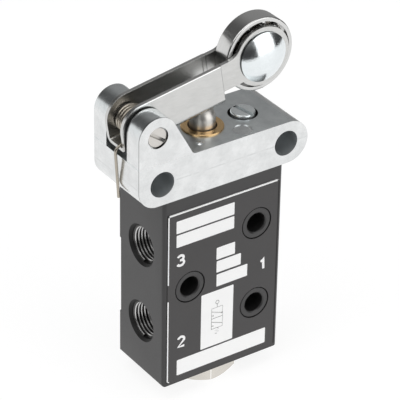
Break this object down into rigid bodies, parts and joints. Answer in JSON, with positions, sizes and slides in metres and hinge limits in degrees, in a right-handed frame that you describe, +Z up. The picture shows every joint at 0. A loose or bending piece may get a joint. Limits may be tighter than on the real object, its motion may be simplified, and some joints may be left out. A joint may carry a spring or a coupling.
{
  "type": "roller lever air valve",
  "caption": "Spool air valve with a black ported block, a cast head with slotted ears, and a sprung channel lever that carries a ball bearing roller over a domed plunger.",
  "frame": {"origin": "on the mounting face, midway between the two fixing holes of the head", "axes": "+Y out of the mounting face, +Z up the spool axis towards the lever, +X towards the roller"},
  "size_m": [0.0499, 0.0196, 0.0939],
  "materials": {
    "body_black": "satin",
    "label_grey": "satin",
    "head_metal": "satin",
    "rubber": "matte",
    "bright_steel": "polished",
    "brass": "satin",
    "steel": "satin",
    "spring_steel": "satin",
    "plug_metal": "satin",
    "lever_plate": "satin",
    "chrome": "mirror",
    "cage_metal": "satin"
  },
  "bodies": {
    "valve": {"valve_body": "body_black", "label_plate": "label_grey", "head_block": "head_metal", "head_seal": "rubber", "head_screws": "bright_steel", "plunger_bush": "brass", "plunger_seal": "rubber", "spool_seal_1": "rubber", "spool_seal_2": "rubber", "spool_seal_3": "rubber", "spool_seal_4": "rubber", "spacer_1": "brass", "spacer_2": "brass", "spacer_3": "brass", "return_spring": "spring_steel", "end_plug": "plug_metal", "plug_seal": "rubber", "pivot_pin": "steel", "torsion_spring": "spring_steel"},
    "plunger_set": {"plunger": "steel", "spool": "steel"},
    "lever": {"lever": "lever_plate", "roller_axle": "chrome", "axle_cap": "chrome", "washer_front": "steel", "washer_back": "steel", "bearing_inner_ring": "bright_steel"},
    "roller": {"bearing_outer_ring": "bright_steel"},
    "ball_cage": {"bearing_cage": "cage_metal", "bearing_balls": "chrome"}
  },
  "joints": [
    {"name": "lever_hinge", "type": "hinge", "parent": "valve", "child": "lever", "pos_m": [-0.01895, -0.0097, 0.0128], "axis": [0, 1, 0], "range_deg": [0, 9.5], "stiffness_Nm_per_rad": 0.6, "springref_deg": -28.65, "deforming": ["torsion_spring"]},
    {"name": "plunger_slide", "type": "slide", "parent": "valve", "child": "plunger_set", "axis": [0, 0, -1], "range_m": [0, 0.00306], "deforming": ["return_spring"]},
    {"name": "roller_spin", "type": "hinge", "parent": "lever", "child": "roller", "pos_m": [0.01443, -0.0097, 0.02169], "axis": [0, 1, 0], "continuous": true},
    {"name": "cage_spin", "type": "hinge", "parent": "lever", "child": "ball_cage", "pos_m": [0.01443, -0.0097, 0.02169], "axis": [0, 1, 0], "continuous": true}
  ],
  "couplings": [
    {"joint": "plunger_slide", "follows": "lever_hinge", "m_per_rad": 0.018455},
    {"joint": "cage_spin", "follows": "roller_spin", "ratio": 0.58207}
  ]
}
